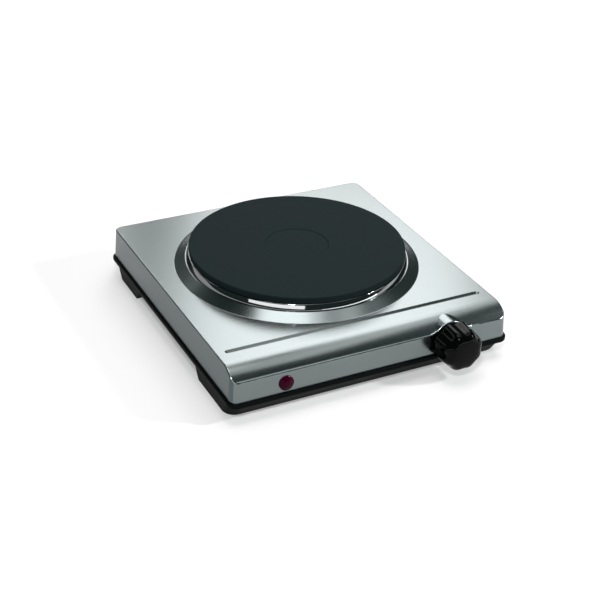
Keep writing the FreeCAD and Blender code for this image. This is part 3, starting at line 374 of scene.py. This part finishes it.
# Mirror-polished steel: clear reflections, with only a trace of the spinning lathe's lines.
SPUN_LINE = 0.9
SPUN_STRETCH = 0.01
SPUN_DETAIL = 2.0
mirror_steel, tree, shader, place = blank("polished_stainless_steel", metallic=1.0)
upright = add(
    tree, "ShaderNodeMapping", {"Vector": place, "Scale": (SPUN_STRETCH, SPUN_STRETCH, 1.0)},
)
lines = add(
    tree, "ShaderNodeTexNoise",
    {"Vector": upright.outputs[0], "Scale": 1 / (SPUN_LINE * MM), "Detail": SPUN_DETAIL},
)
surface(
    tree, shader, lines.outputs[0], shades=("#767878", "#7e8080"), roughness=(0.03, 0.06), relief_mm=0.001,
)
ring = piece("spun_spill_ring", ring_mesh, mirror_steel)
wall = ring.modifiers.new("sheet", "SOLIDIFY")
wall.thickness = RING_SHEET * MM
wall.offset = -1.0
round_off(ring, RING_ROUNDING)
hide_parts("spill_ring")
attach(ring, "burner")


# Pilot light: a domed lens of red polycarbonate that snaps into the fascia, with a neon lamp behind.
# Tinted polycarbonate is deep red and glossy, almost black where nothing lights it from inside.
# Blown glass is clear and smooth, with a trace of warm tint.
GLASS_TINT = "#f4e6dc"
GLASS_ROUGHNESS = 0.03
red_lens = grained(
    "tinted_polycarbonate", shades=("#280011", "#300014"), roughness=(0.04, 0.06),
    grain_mm=3.0, relief_mm=0.002, specular=0.05,
)
dress(red_lens, "indicator_lens")
lamp_glass, tree, shader, place = blank("blown_lamp_glass")
shader.inputs["Base Color"].default_value = linear(GLASS_TINT)
shader.inputs["Transmission Weight"].default_value = 1.0
shader.inputs["Roughness"].default_value = GLASS_ROUGHNESS
dress(lamp_glass, "neon_lamp")


# Knob: a compression moulding in black phenolic with eight soft lobes, pushed on the control's shaft.
# It is hollow behind, round its hub, and comes from a polished tool.
KNOB_LOBES = 8
KNOB_AROUND = 4 * KNOB_LOBES
KNOB_ROUNDING = 3
SHARP = 1.0
# Each ring: how far in front of the back, radius at the lobes, depth of the finger flutes.
hub_rings = [
    (12.0, 1.0, 0.0), (12.0, 3.1, 0.0), (0.0, 3.1, 0.0), (0.0, 5.6, 0.0), (9.0, 5.6, 0.0), (9.0, 12.0, 0.0),
    (0.0, 12.0, 0.0),
]
lobe_rings = [
    (0.0, 19.3, 3.0), (0.6, 19.45, 3.0), (6.0, 19.1, 3.0), (11.0, 18.8, 2.8), (13.8, 18.5, 2.5),
    (16.8, 17.7, 2.0), (19.2, 15.9, 1.4), (20.8, 13.4, 0.9), (21.5, 10.6, 0.5), (21.85, 6.6, 0.2),
    (22.0, 2.4, 0.0),
]
knob_rings = hub_rings + lobe_rings
knob_low, knob_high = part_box("knob")
knob_axis = Vector(((knob_low.x + knob_high.x) / 2, knob_high.y, (knob_low.z + knob_high.z) / 2))
knob_mesh = bmesh.new()
crease = knob_mesh.edges.layers.float.new("crease_edge")
# The loops start as copies of one circle, which gives each point its angle.
loops = [bmesh.ops.create_circle(knob_mesh, segments=KNOB_AROUND, radius=1.0)["verts"]]
rim = list(knob_mesh.edges)
while len(loops) < len(knob_rings):
    made = bmesh.ops.extrude_edge_only(knob_mesh, edges=rim)["geom"]
    loops.append([v for v in made if isinstance(v, bmesh.types.BMVert)])
    rim = [e for e in made if isinstance(e, bmesh.types.BMEdge) and all(v in loops[-1] for v in e.verts)]
bmesh.ops.contextual_create(knob_mesh, geom=rim)
bmesh.ops.contextual_create(
    knob_mesh, geom=[e for e in knob_mesh.edges if all(v in loops[0] for v in e.verts)],
)
for loop in loops[:len(hub_rings)]:
    for edge in {e for v in loop for e in v.link_edges}:
        if all(v in loop for v in edge.verts):
            edge[crease] = SHARP
for (forward, radius, flute), loop in zip(knob_rings, loops):
    for vert in loop:
        angle = math.atan2(vert.co.y, vert.co.x)
        reach = radius - flute * math.cos(angle * KNOB_LOBES / 2) ** 2
        vert.co = knob_axis + Vector((math.cos(angle) * reach, -forward, math.sin(angle) * reach)) * MM
bmesh.ops.recalc_face_normals(knob_mesh, faces=knob_mesh.faces)

# Moulded phenolic: deep gloss black with a barely uneven face, so that lamps show as soft-edged glints.
gloss_phenolic = grained(
    "gloss_moulded_phenolic", shades=("#020303", "#040505"), roughness=(0.05, 0.08),
    grain_mm=4.0, relief_mm=0.003, specular=0.07,
)
knob = piece("lobed_knob", knob_mesh, gloss_phenolic)
round_off(knob, KNOB_ROUNDING)
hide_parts("knob")
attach(knob, "knob_and_shaft")


# Studio floor: a plain white paper sheet, much larger than the picture, that keeps the object's shadow.
# Near the burner the lamps light most of it, and farther out it glows white by itself.
FLOOR_HALF = 40.0
NEAR_REACH, FAR_REACH = 0.5, 2.0
NEAR_GLOW, FAR_GLOW = 0.31, 1.0
PAPER = "#bcbcbc"
floor_mesh = bmesh.new()
bmesh.ops.create_grid(floor_mesh, x_segments=1, y_segments=1, size=FLOOR_HALF)
white_sheet = bpy.data.materials.new("white_paper_sheet")
white_sheet.use_nodes = True
tree = white_sheet.node_tree
tree.nodes.clear()
# It glows only to the eye, in mirrors and through glass, so it adds no soft light to the burner.
ray = add(tree, "ShaderNodeLightPath")
mirrored = add(
    tree, "ShaderNodeMath", {0: ray.outputs["Is Camera Ray"], 1: ray.outputs["Is Glossy Ray"]},
    operation="MAXIMUM",
)
seen = add(
    tree, "ShaderNodeMath", {0: mirrored.outputs[0], 1: ray.outputs["Is Transmission Ray"]},
    operation="MAXIMUM",
)
coordinates = add(tree, "ShaderNodeTexCoord")
away = add(tree, "ShaderNodeVectorMath", {0: coordinates.outputs["Object"]}, operation="LENGTH")
white = add(
    tree, "ShaderNodeMapRange",
    {
        "Value": away.outputs["Value"], "From Min": NEAR_REACH, "From Max": FAR_REACH,
        "To Min": NEAR_GLOW, "To Max": FAR_GLOW,
    },
)
glow = add(tree, "ShaderNodeMath", {0: seen.outputs[0], 1: white.outputs[0]}, operation="MULTIPLY")
paper = add(tree, "ShaderNodeBsdfDiffuse", {"Color": linear(PAPER)})
backlight = add(tree, "ShaderNodeEmission", {"Strength": glow.outputs[0]})
both = add(tree, "ShaderNodeAddShader", {0: paper.outputs[0], 1: backlight.outputs[0]})
add(tree, "ShaderNodeOutputMaterial", {"Surface": both.outputs[0]})
floor = piece("studio_floor", floor_mesh, white_sheet, smooth=False)


# Studio light: softboxes and dimmer strips side by side overhead, which top, collar and shoulder mirror
# as light and dark bands, low panels in front and to the right for the white strips in the spill ring,
# a fill panel on each side, and two small lamps for the glints, all in a dim room.
TO_CAMERA = Vector((-0.4618, -0.887, 0))
TO_RIGHT = Vector((0.887, -0.4618, 0))
UP = Vector((0, 0, 1))
OVERHEAD_HEIGHT = 1.1
KEY = 5.0
SOFTBOX_WHITE = "#fffafa"
PANEL_WHITE = "#ffffff"
ROOM_GLOW = (0.05, 0.075, 0.075, 1)


def placed(level, rise, back, centre):
    """Matrix with these three axes and this place, for a lamp or a camera, which look against back."""
    return Matrix((
        (level.x, rise.x, back.x, centre.x),
        (level.y, rise.y, back.y, centre.y),
        (level.z, rise.z, back.z, centre.z),
        (0, 0, 0, 1),
    ))


def softbox(name, frame_axes, size, radiance, colour):
    """Rectangular lamp with an even brightness over its face."""
    data = bpy.data.lights.new(name, "AREA")
    data.shape = "RECTANGLE"
    data.size, data.size_y = size
    data.energy = radiance * math.pi * data.size * data.size_y
    data.color = linear(colour)[:3]
    lamp = bpy.data.objects.new(name, data)
    lamp.matrix_world = frame_axes
    bpy.context.scene.collection.objects.link(lamp)


# Overhead lamps: near and far edge toward the camera, left and right edge, brightness in KEYs.
for name, (near, far, left, right), brightness in [
    ("near_softbox", (0.28, -0.25, -0.34, 0.12), 1.2),
    ("far_softbox", (-0.60, -2.6, -0.28, 0.41), 1.0),
    ("right_strip", (0.22, -2.6, 0.41, 0.60), 0.40),
    ("middle_strip", (0.28, -0.25, 0.12, 0.24), 0.65),
    ("inner_strip", (0.22, -0.60, 0.24, 0.41), 0.28),
    ("left_softbox", (-1.10, -2.6, -0.95, -0.48), 1.0),
]:
    centre = TO_CAMERA * ((near + far) / 2) + TO_RIGHT * ((left + right) / 2) + UP * OVERHEAD_HEIGHT
    softbox(
        name, placed(TO_RIGHT, -TO_CAMERA, UP, centre), (right - left, near - far), brightness * KEY,
        SOFTBOX_WHITE,
    )

# Panels that face the burner: degrees from the camera toward the right, degrees above the floor,
# distance, width and height, brightness.
for name, turn, rise, distance, size, brightness in [
    ("front_panel", -18, 14, 1.5, (1.5, 0.20), 4.0),
    ("right_panel", 55, 1.5, 1.5, (1.7, 0.06), 8.0),
    ("left_panel", -106, 31, 1.5, (0.8, 0.28), 2.4),
    ("side_panel", 86, 15, 1.6, (0.6, 0.30), 2.4),
    ("camera_lamp", -4, 46, 1.5, (0.15, 0.15), 150),
    ("glint_lamp", 86, 32, 1.5, (0.13, 0.13), 280),
]:
    turn, rise = math.radians(turn), math.radians(rise)
    level_out = TO_CAMERA * math.cos(turn) + TO_RIGHT * math.sin(turn)
    outward = level_out * math.cos(rise) + UP * math.sin(rise)
    sideward = TO_RIGHT * math.cos(turn) - TO_CAMERA * math.sin(turn)
    softbox(
        name, placed(sideward, outward.cross(sideward), outward, outward * distance), size, brightness,
        PANEL_WHITE,
    )

world = bpy.data.worlds.new("dim_studio")
world.use_nodes = True
world.node_tree.nodes["Background"].inputs["Color"].default_value = ROOM_GLOW
world.node_tree.nodes["Background"].inputs["Strength"].default_value = 1.0
bpy.context.scene.world = world


# Camera: where the photograph was taken from, above the front and to the left of it.
IMAGE = 600
FOCAL_PIXELS = 1349.4
SENSOR_WIDTH = 36.0
CAMERA_TURN = (-27.502, 30.386, 2.006)
eye = Vector((-0.46650, -0.88316, 0.60246))
azimuth, elevation, roll = (math.radians(degrees) for degrees in CAMERA_TURN)
back = Vector((
    math.sin(azimuth) * math.cos(elevation),
    -math.cos(azimuth) * math.cos(elevation),
    math.sin(elevation),
))
right = Vector((math.cos(azimuth), math.sin(azimuth), 0))
up = back.cross(right)
turned_right = right * math.cos(roll) + up * math.sin(roll)
turned_up = up * math.cos(roll) - right * math.sin(roll)
optics = bpy.data.cameras.new("photo_camera")
optics.sensor_width = SENSOR_WIDTH
optics.lens = FOCAL_PIXELS / IMAGE * SENSOR_WIDTH
camera = bpy.data.objects.new("photo_camera", optics)
camera.matrix_world = placed(turned_right, turned_up, back, eye)
bpy.context.scene.collection.objects.link(camera)
bpy.context.scene.camera = camera
bpy.context.scene.view_settings.view_transform = "Standard"
